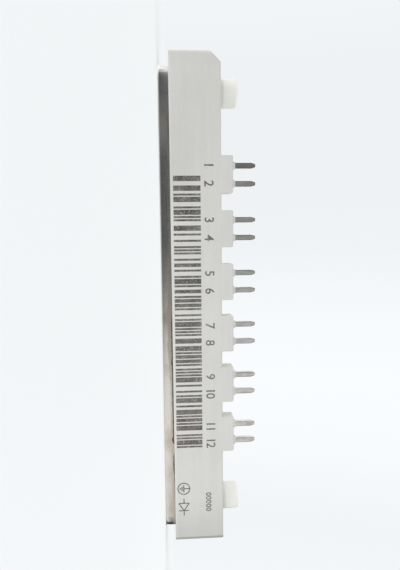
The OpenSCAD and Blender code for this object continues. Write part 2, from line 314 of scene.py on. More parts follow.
@dataclass(frozen=True)
class MouldedPlastic(Finish):
    """Filled thermoplastic with a fine eroded grain and faint flow marks.

    The painted end shade's steps are places along X in millimetres, with its share at each.
    """

    colour: Colour = (0.655, 0.655, 0.622)
    roughness: float = 0.46
    patch_size: float = 8 / 3 * MM
    patch_spread: Span = (0.07, 0.07)
    tone: float = 0.035
    cloud_size: float = 8 * MM
    speck_size: float = 0.35 * MM
    flow_size: float = 1.1 * MM
    flow_stretch: float = 16.0
    mixed_span: Span = (1.2, 1.8)
    grain_size: float = 0.12 * MM
    grain_depth: float = 0.004 * MM
    sink_size: float = 14 * MM
    sink_depth: float = 0.02 * MM
    # Painted shade at the far end, darkest in a line along its edge.
    scuff: Colour = (0.35, 0.345, 0.325)
    scuff_steps: Steps = (
        (43.0, 0.0), (51.0, 0.28), (52.7, 0.32), (52.85, 0.95), (53.45, 0.95), (53.6, 0.15),
    )
    # Painted highlight: the posts' colour is made this much paler.
    post_tone: float = 1.36
    post_x: float = 36 * MM
    post_z: float = 13.3 * MM

    def tint(self, tree: ShaderTree) -> Socket:
        """Colour of the plastic with its clouds, specks and flow marks.

        Painted shade darkens the far end, most in a line at its edge, and a painted highlight makes
        the posts paler.

        Args:
            tree: The material's tree.

        Returns:
            The colour's output.
        """
        cloud = tree.noise(self.cloud_size, detail=2.0)
        speck = tree.noise(self.speck_size)
        flow = tree.noise(self.flow_size, (self.flow_stretch, 1, 1))
        mixed = tree.maths("ADD", tree.maths("ADD", cloud, speck), flow)
        dark = scaled(self.colour, 1 - self.tone)
        light = scaled(self.colour, 1 + self.tone)
        clean = tree.blend(tree.remap(mixed, self.mixed_span), dark, light)
        along = tree.axis(tree.place(), "X")
        # Painted shade: darker towards the far end, and darkest just before its edge.
        plain = tree.blend(tree.profile(along, self.scuff_steps), clean, self.scuff)
        # Painted highlight: the posts above the top face are made paler.
        at_end = tree.maths("GREATER_THAN", tree.maths("ABSOLUTE", along), self.post_x)
        high = tree.remap(tree.axis(tree.place(), "Z"), (self.post_z, self.post_z + MM))
        post_highlight_share = tree.maths("MULTIPLY", at_end, high)
        return tree.blend(post_highlight_share, plain, scaled(self.colour, self.post_tone))

    def relief(self, tree: ShaderTree) -> Socket:
        """Normal of the grain on slight sink marks."""
        sinks = tree.bump(tree.noise(self.sink_size, detail=0.0), self.sink_depth)
        return tree.bump(tree.noise(self.grain_size, detail=2.0), self.grain_depth, sinks)

    def cover(self, tree: ShaderTree, colour: Socket) -> None:
        """Ends the tree in the plastic's surface, with a given colour."""
        rough = self.uneven_roughness(tree, tree.noise(self.patch_size), self.patch_spread)
        tree.surface(Base_Color=colour, Roughness=rough, Normal=self.relief(tree))

    def dress(self, tree: ShaderTree) -> None:
        """Builds the plastic's nodes."""
        self.cover(tree, self.tint(tree))


@dataclass(frozen=True)
class PrintedPlastic(MouldedPlastic):
    """The same plastic under a thin dark print that lets specks of it through."""

    ink: Colour = (0.088, 0.083, 0.077)
    worn_ink: Colour = (0.172, 0.158, 0.143)
    rub_size: float = 2.4 * MM
    rub_span: Span = (0.35, 0.65)
    hole_size: float = 0.22 * MM
    hole_span: Span = (0.56, 0.74)
    hole_most: float = 0.7

    def dress(self, tree: ShaderTree) -> None:
        """Builds the print's nodes over the plastic's.

        Args:
            tree: The empty tree of the new material.
        """
        rubbed = tree.remap(tree.noise(self.rub_size), self.rub_span)
        ink = tree.blend(rubbed, self.ink, self.worn_ink)
        specks = tree.noise(self.hole_size, detail=1.0)
        holes = tree.remap(specks, self.hole_span, (0.0, self.hole_most))
        self.cover(tree, tree.blend(holes, ink, self.tint(tree)))


@dataclass(frozen=True)
class NickelPlating(Finish):
    """Satin nickel on rolled copper, with a brownish band of painted reflection, of the frame's
    rim, along its sheared side.

    The stains are fainter on the underside, and a hand's smudge dulls one place. The
    band's dips are places along X with how far its edge dips at each, in millimetres.
    """

    colour: Colour = (0.70, 0.69, 0.66)
    roughness: float = 0.19
    patch_spread: Span = (0.04, 0.06)
    stain: Colour = (0.50, 0.42, 0.35)
    stain_size: float = 11 * MM
    stain_span: Span = (0.5, 0.72)
    stain_most: float = 0.85
    underside_stain: float = 0.3
    underside_to: float = 0.4 * MM
    # Painted reflection of the frame's rim: a brownish band on the plate's side.
    torn: Colour = (0.63, 0.565, 0.49)
    torn_span: Span = (1.55 * MM, 1.85 * MM)
    torn_dips: Steps = ((-12, 0.0), (1, 0.55), (10, 0.50), (18, 0.1))
    torn_roughness: float = 0.22
    ragged_size: float = 0.5 * MM
    ragged_stretch: float = 3.0
    ragged_height: float = 0.12 * MM
    clean_span: Span = (-47 * MM, -43 * MM)
    line_size: float = 0.07 * MM
    line_stretch: float = 220.0
    line_depth: float = 0.0012 * MM
    line_shift: float = 0.37
    wave_size: float = 5 * MM
    wave_depth: float = 0.006 * MM
    smudge_x: float = -39 * MM
    smudge_reach: float = 9 * MM
    smudge_roughness: float = 0.36

    def torn_band(
        self, tree: ShaderTree, along: Socket, above: Socket
    ) -> Socket:
        """Finds the brownish band of painted reflection, of the frame's rim, along the upper part
        of the sheared side.

        Args:
            tree: The material's tree.
            along: Place along X.
            above: Height above the underside.

        Returns:
            Its share, from 0 to 1.
        """
        dips = tree.maths("MULTIPLY", tree.profile(along, self.torn_dips), MM)
        wobble = tree.noise(self.ragged_size, (self.ragged_stretch, 1, 1))
        ragged = tree.remap(wobble, NOISE_SPAN, (-self.ragged_height, self.ragged_height))
        height = tree.maths("ADD", tree.maths("ADD", above, dips), ragged)
        torn = tree.remap(height, self.torn_span, ease=Ease.SMOOTH)
        return tree.maths("MULTIPLY", torn, tree.remap(along, self.clean_span))

    def dress(self, tree: ShaderTree) -> None:
        """Builds the nodes of the plating, its stains and its torn band.

        Args:
            tree: The empty tree of the new material.
        """
        along = tree.axis(tree.place(), "X")
        above = tree.axis(tree.place(), "Z")
        blots = tree.noise(self.stain_size)
        stains = tree.remap(blots, self.stain_span, (0.0, self.stain_most), Ease.SMOOTH)
        kept = tree.remap(above, (0.0, self.underside_to), (self.underside_stain, 1.0))
        metal = tree.blend(tree.maths("MULTIPLY", stains, kept), self.colour, self.stain)
        # Painted reflection: the band where the frame's rim is mirrored in the side.
        band = self.torn_band(tree, along, above)
        away = tree.maths("ABSOLUTE", tree.maths("SUBTRACT", along, self.smudge_x))
        near = (self.smudge_reach, 0.0)
        smudge = tree.remap(away, near, (0.0, self.smudge_roughness), Ease.SMOOTH)
        worn = tree.maths("ADD", tree.maths("MULTIPLY", band, self.torn_roughness), smudge)
        patches = tree.noise(self.wave_size)
        smooth = self.uneven_roughness(tree, patches, self.patch_spread)
        lines = tree.noise(self.line_size, (self.line_stretch, 1, 1), shift=self.line_shift)
        tree.surface(
            Base_Color=tree.blend(band, metal, self.torn),
            Metallic=1.0,
            Roughness=tree.maths("ADD", smooth, worn),
            Normal=tree.bump(lines, self.line_depth, tree.bump(patches, self.wave_depth)),
        )


@dataclass(frozen=True)
class TinnedPin(Finish):
    """Dull tin on a stamped copper pin, drawn along its length, with painted shade that darkens the
    first one.
    """

    colour: Colour = (0.74, 0.735, 0.715)
    roughness: float = 0.32
    blot_spread: Span = (0.06, 0.12)
    metal: float = 0.84
    shadow: Colour = (0.59, 0.58, 0.555)
    shadow_span: Span = (0.62, 0.92)
    # Painted shade: the first pin's colour is darkened by this share.
    dull: float = 0.45
    dull_tone: float = 0.35
    dull_span: Span = (-29 * MM, -27.5 * MM)
    blot_size: float = 0.8 * MM
    blot_stretch: float = 2.0
    blot_share: float = 0.5
    streak_size: float = 0.24 * MM
    streak_stretch: float = 9.0
    line_size: float = 0.08 * MM
    line_stretch: float = 14.0
    line_depth: float = 0.003 * MM

    def dress(self, tree: ShaderTree) -> None:
        """Builds the nodes of the tin and its drawn lines.

        Args:
            tree: The empty tree of the new material.
        """
        blots = tree.noise(self.blot_size, (1, 1, self.blot_stretch))
        lines = tree.noise(self.line_size, (1, 1, self.line_stretch))
        streaks = tree.noise(self.streak_size, (1, 1, self.streak_stretch))
        mixed = tree.maths("ADD", tree.maths("MULTIPLY", blots, self.blot_share), streaks)
        clean = tree.blend(tree.remap(mixed, self.shadow_span), self.colour, self.shadow)
        # Painted shade: darker towards the first pin, along X.
        painted_shading = tree.remap(tree.axis(tree.place(), "X"), self.dull_span, (self.dull, 0.0))
        tree.surface(
            Base_Color=tree.blend(painted_shading, clean, scaled(self.shadow, self.dull_tone)),
            Metallic=self.metal,
            Roughness=self.uneven_roughness(tree, blots, self.blot_spread),
            Normal=tree.bump(lines, self.line_depth),
        )


@dataclass(frozen=True)
class RubbedTin(TinnedPin):
    """The same tin on a pin's broken edges, with painted shade that darkens them towards the first
    pin.
    """

    colour: Colour = (0.72, 0.715, 0.695)
    shadow: Colour = (0.576, 0.572, 0.556)
    # Painted shade: the edges are dark at the first pin and fade out towards the last.
    dull: float = 0.9
    dull_span: Span = (-30 * MM, 28 * MM)


@dataclass(frozen=True, kw_only=True)
class Blotched(Finish):
    """Surface with blotches of a second colour and a fine relief."""

    blotch: Colour
    blotch_size: float
    blotch_span: Span
    blotch_spread: Span = (0.0, 0.0)
    relief_size: float
    relief_depth: float
    metal: float = 0.0

    def dress(self, tree: ShaderTree) -> None:
        """Builds the blotches and the relief.

        Args:
            tree: The empty tree of the new material.
        """
        blots = tree.noise(self.blotch_size)
        rough = self.roughness
        if any(self.blotch_spread):
            rough = self.uneven_roughness(tree, blots, self.blotch_spread)
        tree.surface(
            Base_Color=tree.blend(tree.remap(blots, self.blotch_span), self.colour, self.blotch),
            Metallic=self.metal,
            Roughness=rough,
            Normal=tree.bump(tree.noise(self.relief_size), self.relief_depth),
        )


@dataclass(frozen=True, kw_only=True)
class SealBead(Blotched):
    """Cured adhesive, dark and a little shiny."""

    colour: Colour = (0.055, 0.045, 0.038)
    roughness: float = 0.42
    blotch: Colour = (0.13, 0.115, 0.10)
    blotch_size: float = 0.6 * MM
    blotch_span: Span = (0.45, 0.7)
    relief_size: float = 0.6 * MM
    relief_depth: float = 0.04 * MM


@dataclass(frozen=True, kw_only=True)
class Ceramic(Blotched):
    """Sintered white ceramic with fine grey specks."""

    colour: Colour = (0.86, 0.86, 0.83)
    roughness: float = 0.5
    blotch: Colour = (0.62, 0.62, 0.60)
    blotch_size: float = 0.3 * MM
    blotch_span: Span = (0.62, 0.75)
    relief_size: float = 0.15 * MM
    relief_depth: float = 0.003 * MM


@dataclass(frozen=True, kw_only=True)
class BareMetal(Blotched):
    """Plain metal of the circuit, with blotches of its oxide."""

    blotch_span: Span = (0.4, 0.75)
    blotch_spread: Span = (0.05, 0.1)
    metal: float = 1.0


@dataclass(frozen=True)
class SiliconDie(Finish):
    """Metallised silicon with its rows of cells."""

    colour: Colour = (0.42, 0.44, 0.47)
    roughness: float = 0.22
    trench: Colour = (0.16, 0.17, 0.20)
    cell: float = 0.9 * MM
    trench_span: Span = (0.80, 0.95)
    relief_size: float = 0.2 * MM
    relief_depth: float = 0.001 * MM

    def dress(self, tree: ShaderTree) -> None:
        """Builds the die's nodes.

        Args:
            tree: The empty tree of the new material.
        """
        along = tree.maths("MULTIPLY", tree.axis(tree.place(), "X"), math.tau / self.cell)
        rows = tree.remap(tree.maths("SINE", along), self.trench_span)
        tree.surface(
            Base_Color=tree.blend(rows, self.colour, self.trench),
            Metallic=1.0,
            Roughness=self.roughness,
            Normal=tree.bump(tree.noise(self.relief_size), self.relief_depth),
        )


@dataclass(frozen=True)
class SoftGel(Finish):
    """Clear silicone gel with a faint haze."""

    colour: Colour = (0.92, 0.95, 0.97)
    roughness: float = 0.12
    haze: Colour = (0.80, 0.85, 0.88)
    haze_size: float = 6 * MM
    wave_size: float = 9 * MM
    wave_depth: float = 0.05 * MM
    bending: float = 1.41
    clearness: float = 0.9

    def dress(self, tree: ShaderTree) -> None:
        """Builds the gel's nodes.

        Args:
            tree: The empty tree of the new material.
        """
        tree.surface(
            Base_Color=tree.blend(tree.noise(self.haze_size), self.colour, self.haze),
            Roughness=self.roughness,
            IOR=self.bending,
            Transmission_Weight=self.clearness,
            Normal=tree.bump(tree.noise(self.wave_size, detail=1.0), self.wave_depth),
        )


@dataclass(frozen=True)
class TableTop(Finish):
    """Pale matt table top that glows softly, as a light table does.

    Metal mirrors it bright on some stretches along X and dark on others, as it mirrors
    the tent, and with levels of its own close under the plate. Dull surfaces get an even
    glow. Hidden under the plate it has no shadow. From below it isn't there, so that the
    plate's underside can be seen and lit. The steps along X are in millimetres.
    """

    colour: Colour = (0.940, 0.962, 0.976)
    roughness: float = 0.7
    cloud_size: float = 60 * MM
    cloud_tone: float = 0.01
    own_glow: float = 0.25
    shown: Colour = (0.965, 0.990, 1.005)
    glow: Colour = (1.25, 1.26, 1.27)
    open_steps: Steps = (
        (-115, 1.0), (-88, 0.0), (-10, 0.0), (4, 0.25), (18, 0.8), (32, 1.0), (55, 1.0), (90, 0.0),
    )
    under_steps: Steps = (
        (-60, 1.35), (-51, 1.35), (-48, 0.75), (40, 0.75), (50, 0.55), (53, 0.05),
    )
    under_span: Span = (22.2 * MM, 21.2 * MM)
    hidden_x: float = 51.6 * MM
    hidden_y: float = 21.6 * MM
    hidden_radius: float = 3.4 * MM
    touching: float = 0.03 * MM

    def mirrored(
        self, tree: ShaderTree, x: Socket, away_y: Socket
    ) -> Socket:
        """Finds what metal mirrors of the table.

        Args:
            tree: The material's tree.
            x: Place along X.
            away_y: Distance from the module's middle line.

        Returns:
            The colour's output.
        """
        open_table = tree.blend(tree.profile(x, self.open_steps), MIRROR_DARK, MIRROR_BRIGHT)
        under = tree.tinted(MIRROR_BRIGHT, tree.profile(x, self.under_steps))
        return tree.blend(tree.remap(away_y, self.under_span), open_table, under)

    def hidden(
        self, tree: ShaderTree, away_x: Socket, away_y: Socket
    ) -> Socket:
        """Finds the plate's footprint, a rectangle with round corners.

        Args:
            tree: The material's tree.
            away_x: Distance from the middle along X.
            away_y: Distance from the middle along Y.

        Returns:
            1 inside and 0 outside.
        """
        squares = []
        for away, half in ((away_x, self.hidden_x), (away_y, self.hidden_y)):
            past = tree.maths("SUBTRACT", away, half - self.hidden_radius)
            squares.append(tree.maths("POWER", tree.maths("MAXIMUM", past, 0.0), 2.0))
        reach = tree.maths("SQRT", tree.maths("ADD", *squares))
        return tree.maths("LESS_THAN", reach, self.hidden_radius)

    def dress(self, tree: ShaderTree) -> None:
        """Builds the table's nodes.

        Args:
            tree: The empty tree of the new material.
        """
        clouds = tree.noise(self.cloud_size)
        dark = scaled(self.colour, 1 - self.cloud_tone)
        light = scaled(self.colour, 1 + self.cloud_tone)
        colour = tree.blend(clouds, dark, light)
        matt = tree.node("ShaderNodeBsdfDiffuse", {"Color": colour, "Roughness": self.roughness})
        x = tree.axis(tree.place(), "X")
        away_x = tree.maths("ABSOLUTE", x)
        away_y = tree.maths("ABSOLUTE", tree.axis(tree.place(), "Y"))
        path = tree.node("ShaderNodeLightPath", {}).outputs
        plain = tree.blend(path["Is Camera Ray"], self.glow, self.shown)
        sent = tree.blend(path["Is Glossy Ray"], plain, self.mirrored(tree, x, away_y))
        shine = tree.node("ShaderNodeEmission", {"Color": sent, "Strength": 1.0})
        lights = tree.maths("MAXIMUM", path["Is Glossy Ray"], path["Is Diffuse Ray"])
        shadowless = tree.maths("MAXIMUM", lights, self.hidden(tree, away_x, away_y))
        share = tree.maths("MAXIMUM", shadowless, self.own_glow)
        top = tree.node("ShaderNodeMixShader", {0: share, 1: matt.outputs[0], 2: shine.outputs[0]})
        from_below = tree.node("ShaderNodeNewGeometry", {}).outputs["Backfacing"]
        touched = tree.maths("LESS_THAN", path["Ray Length"], self.touching)
        gone = tree.maths("MAXIMUM", from_below, touched)
        clear = tree.node("ShaderNodeBsdfTransparent", {})
        seen = tree.node("ShaderNodeMixShader", {0: gone, 1: top.outputs[0], 2: clear.outputs[0]})
        tree.node("ShaderNodeOutputMaterial", {"Surface": seen.outputs[0]})


# ---------------------------------------------------------------- pieces


def new_piece(
    name: str, mesh: bpy.types.Mesh, slot: str, material: Material
) -> bpy.types.Object:
    """Puts a mesh in the scene as a piece that rides on the module.

    Args:
        name: The piece's name.
        mesh: Its mesh, in the frame's axes.
        slot: The name of a material slot, which is only written to the log.
        material: Its first material.

    Returns:
        The piece.
    """
    piece = bpy.data.objects.new(name, mesh)
    bpy.context.scene.collection.objects.link(piece)
    if mesh.materials:
        mesh.materials[0] = material
    else:
        mesh.materials.append(material)
    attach(piece, BODY)
    LOG.info("piece %s: %d faces, slot %s", name, len(mesh.polygons), slot)
    return piece


def welded_copy(node: str) -> bpy.types.Mesh:
    """Copies a CAD node's mesh with its split corners joined.

    Args:
        node: The CAD node's name.

    Returns:
        A new mesh, without the node's stored normals.
    """
    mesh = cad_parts[node].data.copy()
    work = bmesh.new()
    work.from_mesh(mesh)
    bmesh.ops.remove_doubles(work, verts=work.verts, dist=WELD)
    work.to_mesh(mesh)
    work.free()
    stored = mesh.attributes.get("custom_normal")
    if stored is not None:
        mesh.attributes.remove(stored)
    return mesh


def shade_by_angle(mesh: bpy.types.Mesh, degrees: float = 32.0) -> None:
    """Shades a mesh smooth, apart from edges sharper than an angle."""
    mesh.shade_smooth()
    mesh.set_sharp_from_angle(angle=math.radians(degrees))


def even_normals(piece: bpy.types.Object) -> None:
    """Keeps a piece's flat faces flat where rounded edges run into them."""
    even = piece.modifiers.new("even_normals", "WEIGHTED_NORMAL")
    even.keep_sharp = True


def dress_nodes(names: Iterable[str], material: Material) -> None:
    """Gives CAD nodes that stay as they are a material.

    Args:
        names: The nodes' names.
        material: Their material.
    """
    for name in names:
        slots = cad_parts[name].data.materials
        slots.clear()
        slots.append(material)
        LOG.info("node %s: %s", name, material.name)


def nodes_with(prefix: str) -> list[str]:
    """Names of the CAD nodes that start with a prefix, in order."""
    return sorted(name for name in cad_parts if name.startswith(prefix))


# ---------------------------------------------------------------- print


def rectangle(x: float, z: float, length: float, height: float) -> Outline:
    """Upright rectangle from its lower corner at x and z."""
    corners = ((0, 0), (length, 0), (length, height), (0, height))
    return [Vector((x + a, z + b)) for a, b in corners]


def stroke(start: Vector, end: Vector, width: float) -> Outline:
    """Straight stroke from one point to another, with square ends."""
    side = (end - start).normalized().orthogonal() * width / 2
    return [start - side, end - side, end + side, start + side]


def turned_area(outline: Outline) -> float:
    """Area inside an outline, which is negative where its points run clockwise."""
    pairs = zip(outline, outline[1:] + outline[:1])
    return sum(a.x * b.y - b.x * a.y for a, b in pairs) / 2


@dataclass(frozen=True)
class Lettering:
    """How a line of plain numerals is set.

    Weight is how far the strokes are thickened, as a share of the type size, and space
    is the distance between the numerals, as a share of the usual one.
    """

    foot: float
    height: float
    weight: float
    space: float
    curve_steps: int = 3

    def outlines(self, words: str, x: float) -> list[Outline]:
        """Sets the numerals.

        Args:
            words: The numerals.
            x: Their centre along X.

        Returns:
            The faces that fill them.
        """
        curve = bpy.data.curves.new("numeral", "FONT")
        curve.body = words
        curve.align_x = "CENTER"
        curve.resolution_u = self.curve_steps
        curve.offset = self.weight
        curve.space_character = self.space
        stand_in = bpy.data.objects.new("numeral", curve)
        bpy.context.scene.collection.objects.link(stand_in)
        shown = stand_in.evaluated_get(bpy.context.evaluated_depsgraph_get())
        mesh = shown.to_mesh()
        low = min(v.co.y for v in mesh.vertices)
        scale = self.height / (max(v.co.y for v in mesh.vertices) - low)
        marks = []
        for face in mesh.polygons:
            corners = [mesh.vertices[i].co for i in face.vertices]
            spots = [(x + c.x * scale, self.foot + (c.y - low) * scale) for c in corners]
            marks.append([Vector(spot) for spot in spots])
        shown.to_mesh_clear()
        bpy.data.objects.remove(stand_in)
        bpy.data.curves.remove(curve)
        return marks


@dataclass(frozen=True)
class SidePrint:
    """Flat marks on the frame's side at the control pins, as outlines in X and Z.

    The bars' widths and gaps are counted in modules, and the parts of the two signs are
    shares of the sign's radius.
    """

    bar_module: float = 0.335 * MM
    bar_widths: tuple[int, ...] = (1, 1, 2, 3)
    bar_gaps: tuple[int, ...] = (1, 1, 1, 2, 3)
    bar_bleed: float = 0.11 * MM
    bar_z: float = 2.87 * MM
    bar_height: float = 5.75 * MM
    bar_start: float = -28.3 * MM
    bar_end: float = 31.5 * MM
    bar_slope: float = -0.0022
    bar_seed: int = 11
    numerals: Lettering = Lettering(9.42 * MM, 2.0 * MM, 0.012, 0.82)
    lot: str = "00000"
    lot_x: float = 44.46 * MM
    lot_numerals: Lettering = Lettering(9.13 * MM, 1.3 * MM, 0.024, 1.06)
    line: float = 0.24 * MM
    sign_z: float = 4.17 * MM
    sign_radius: float = 1.45 * MM
    earth_x: float = 41.1 * MM
    earth_bars: tuple[float, ...] = (0.62, 0.40, 0.18)
    earth_step: float = 1.7 * 0.24 * MM
    ring_steps: int = 40
    diode_x: float = 45.47 * MM
    diode_nose: float = 0.6
    diode_rise: float = 0.8
    diode_lead: float = 0.8

    def bars(self) -> list[Outline]:
        """Draws upright bars whose widths and gaps are random counts of whole modules.

        Returns:
            One outline for each bar.
        """
        draw = random.Random(self.bar_seed)
        marks = []
        x = self.bar_start
        while True:
            width = draw.choice(self.bar_widths) * self.bar_module + self.bar_bleed
            if x + width > self.bar_end:
                return marks
            foot = self.bar_z + self.bar_slope * (x - self.bar_start)
            marks.append(rectangle(x, foot, width, self.bar_height))
            x += width + draw.choice(self.bar_gaps) * self.bar_module - self.bar_bleed

    def pin_numbers(self) -> list[Outline]:
        """Sets the number of each control pin below its boss.

        Returns:
            The faces of all numbers.
        """
        marks = []
        for number, node in enumerate(Row.CONTROL.nodes(), start=1):
            low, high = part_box(node)
            marks += self.numerals.outlines(str(number), (low.x + high.x) / 2)
        return marks

    def earth_sign(self) -> list[Outline]:
        """Draws the usual sign for an earthed part: a stem on three bars in a ring.

        Returns:
            The sign's faces.
        """
        centre = Vector((self.earth_x, self.sign_z))
        inner = self.sign_radius - self.line
        turns = [math.tau * i / self.ring_steps for i in range(self.ring_steps)]
        ways = [Vector((math.cos(turn), math.sin(turn))) for turn in turns]
        outer = self.sign_radius
        marks = [
            [centre + a * inner, centre + a * outer, centre + b * outer, centre + b * inner]
            for a, b in zip(ways, ways[1:] + ways[:1])
        ]
        marks.append(stroke(centre, centre + Vector((0, inner)), self.line))
        for level, half in enumerate(self.earth_bars):
            middle = centre - Vector((0, level * self.earth_step))
            reach = Vector((half * self.sign_radius, 0))
            marks.append(stroke(middle - reach, middle + reach, self.line))
        return marks

    def diode_sign(self) -> list[Outline]:
        """Draws the usual sign for a diode, in outline.

        Returns:
            The sign's strokes.
        """
        centre = Vector((self.diode_x, self.sign_z))
        reach = Vector((self.sign_radius * self.diode_nose, 0))
        lead = Vector((self.sign_radius * self.diode_lead, 0))
        rise = Vector((0, self.sign_radius * self.diode_rise))
        nose = centre + reach
        tail = centre - reach
        lines = (
            (tail - rise, tail + rise),
            (tail + rise, nose),
            (tail - rise, nose),
            (nose - rise, nose + rise),
            (tail - lead, tail),
            (nose, nose + lead),
        )
        return [stroke(a, b, self.line) for a, b in lines]

    def marks(self) -> list[Outline]:
        """Everything that is printed on the side."""
        codes = self.lot_numerals.outlines(self.lot, self.lot_x)
        return self.bars() + self.pin_numbers() + self.earth_sign() + self.diode_sign() + codes


# ---------------------------------------------------------------- housing


@dataclass
class Housing:
    """Moulded frame with its side print, the lid, and a dark bead in the seal's material under the
    rim.

    The beads are given as places along X with their height at each, in millimetres.
    """

    plastic: MouldedPlastic = MouldedPlastic()
    inked: PrintedPlastic = PrintedPlastic()
    lid_plastic: MouldedPlastic = MouldedPlastic(colour=(0.635, 0.632, 0.602), roughness=0.42)
    seal: SealBead = SealBead()
    side_print: SidePrint = SidePrint()
    flat: float = 0.001 * MM
    least_area: float = 1e-6 * MM * MM
    join_mm: float = 1e-6
    long_bead: Steps = (
        (-12.0, 0.05), (1.0, 0.12), (4.0, 0.27), (11.0, 0.27), (12.0, 0.42), (13.0, 0.25),
        (24.0, 0.26), (29.0, 0.30), (30.0, 0.50), (30.6, 0.34), (30.9, 0.08),
    )
    short_bead: Steps = ((33.0, 0.08), (33.8, 0.26), (37.0, 0.30), (38.2, 0.12), (44.0, 0.07))
    bead_step: float = 0.4 * MM
    bead_uneven: float = 0.15
    bead_turns: tuple[int, ...] = (0, 30, 60, 90)
    bead_smooth: float = 50.0
    bead_seed: int = 4

    def build(self) -> None:
        """Builds the housing's pieces and dresses its nodes."""
        self.frame_shell()
        dress_nodes(["lid"], self.lid_plastic.material("lid_plastic"))
        seal = self.seal.material("seal")
        dress_nodes(["frame_seal"], seal)
        self.bead("dark_bead_1", seal, self.long_bead)
        self.bead("dark_bead_2", seal, self.short_bead)

    def frame_shell(self) -> None:
        """Copies the frame and cuts the print's outlines into its side."""
        mesh = welded_copy("frame")
        count = self.cut_print(mesh, self.side_print.marks())
        plastic = self.plastic.material("frame_plastic")
        shell = new_piece("frame_shell", mesh, "frame_plastic", plastic)
        mesh.materials.append(self.inked.material("printed_plastic"))
        shade_by_angle(mesh)
        even_normals(shell)
        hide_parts("frame")
        LOG.info("side print: %d faces", count)

    def cut_print(self, mesh: bpy.types.Mesh, marks: list[Outline]) -> int:
        """Replaces the flat side at -Y with faces that follow the marks' outlines.

        Args:
            mesh: The frame's mesh.
            marks: Outlines in X and Z.

        Returns:
            How many faces carry print.
        """
        work = bmesh.new()
        work.from_mesh(mesh)
        side = min(v.co.y for v in work.verts)
        wall = [f for f in work.faces if all(v.co.y - side < self.flat for v in f.verts)]
        corners = list(dict.fromkeys(v for f in wall for v in f.verts))
        number = {v: i for i, v in enumerate(corners)}
        points = [Vector((v.co.x, v.co.z)) / MM for v in corners]
        faces = [[number[v] for v in f.verts] for f in wall]
        for mark in marks:
            area = turned_area(mark)
            if abs(area) < self.least_area:
                continue
            faces.append(list(range(len(points), len(points) + len(mark))))
            points += [point / MM for point in (mark if area > 0 else mark[::-1])]
        places, _, cells, origin, _, covers = delaunay_2d_cdt(points, [], faces, 0, self.join_mm)
        bmesh.ops.delete(work, geom=wall, context="FACES")
        made = self.wall_vertices(work, places, origin, corners, side)
        printed = 0
        for cell, cover in zip(cells, covers):
            if not any(index < len(wall) for index in cover):
                continue
            face = work.faces.new([made[i] for i in cell])
            face.material_index = int(any(index >= len(wall) for index in cover))
            printed += face.material_index
            if face.normal.y > 0:
                face.normal_flip()
        bmesh.ops.recalc_face_normals(work, faces=work.faces)
        work.to_mesh(mesh)
        work.free()
        return printed

    @staticmethod
    def wall_vertices(
        work: bmesh.types.BMesh,
        places: Sequence[Vector],
        origin: Sequence[Sequence[int]],
        corners: list[bmesh.types.BMVert],
        side: float,
    ) -> list[bmesh.types.BMVert]:
        """Finds or makes the vertex at each point of the new side.

        Args:
            work: The mesh that is being built.
            places: The points, in millimetres in X and Z.
            origin: Which given points each of them came from.
            corners: The side's old vertices, given first.
            side: The side's place along Y.

        Returns:
            One vertex for each point.
        """
        made = []
        for place, sources in zip(places, origin):
            old = [corners[i] for i in sources if i < len(corners)]
            spot = Vector((place.x * MM, side, place.y * MM))
            made.append(old[0] if old and old[0].is_valid else work.verts.new(spot))
        return made

    def between(self, knots: Steps) -> list[tuple[float, float]]:
        """Places and heights at even steps from one knot to the next.

        Args:
            knots: Places along X with a height at each, in millimetres.

        Returns:
            The same in metres, at every step and every knot.
        """
        found = []
        for (x0, h0), (x1, h1) in zip(knots, knots[1:]):
            steps = max(1, round((x1 - x0) * MM / self.bead_step))
            shares = [i / steps for i in range(steps)]
            found += [((x0 + (x1 - x0) * t) * MM, (h0 + (h1 - h0) * t) * MM) for t in shares]
        return [*found, (knots[-1][0] * MM, knots[-1][1] * MM)]

    def bead(self, name: str, material: Material, knots: Steps) -> None:
        """Builds a dark bead, in the seal's material, in the corner between the plate's side and
        the rim.

        Args:
            name: The piece's name.
            material: Its material.
            knots: Places along X with the bead's height there, in millimetres.
        """
        draw = random.Random(self.bead_seed)
        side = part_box("base_plate")[0].y
        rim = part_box("frame")[0].z
        turns = [math.radians(turn) for turn in self.bead_turns]
        work = bmesh.new()
        rings = []
        for x, height in self.between(knots):
            size = height * (1 + draw.uniform(-self.bead_uneven, self.bead_uneven))
            arc = [(side - size * (1 - math.sin(a)), rim - size * (1 - math.cos(a))) for a in turns]
            rings.append([work.verts.new((x, y, z)) for y, z in [(side, rim), *arc]])
        for first, second in zip(rings, rings[1:]):
            for k, _ in enumerate(first):
                j = (k + 1) % len(first)
                work.faces.new((first[k], first[j], second[j], second[k]))
        work.faces.new(rings[0])
        work.faces.new(rings[-1])
        bmesh.ops.recalc_face_normals(work, faces=work.faces)
        mesh = bpy.data.meshes.new(name)
        work.to_mesh(mesh)
        work.free()
        shade_by_angle(mesh, self.bead_smooth)
        new_piece(name, mesh, "seal", material)


# ---------------------------------------------------------------- base plate and pins


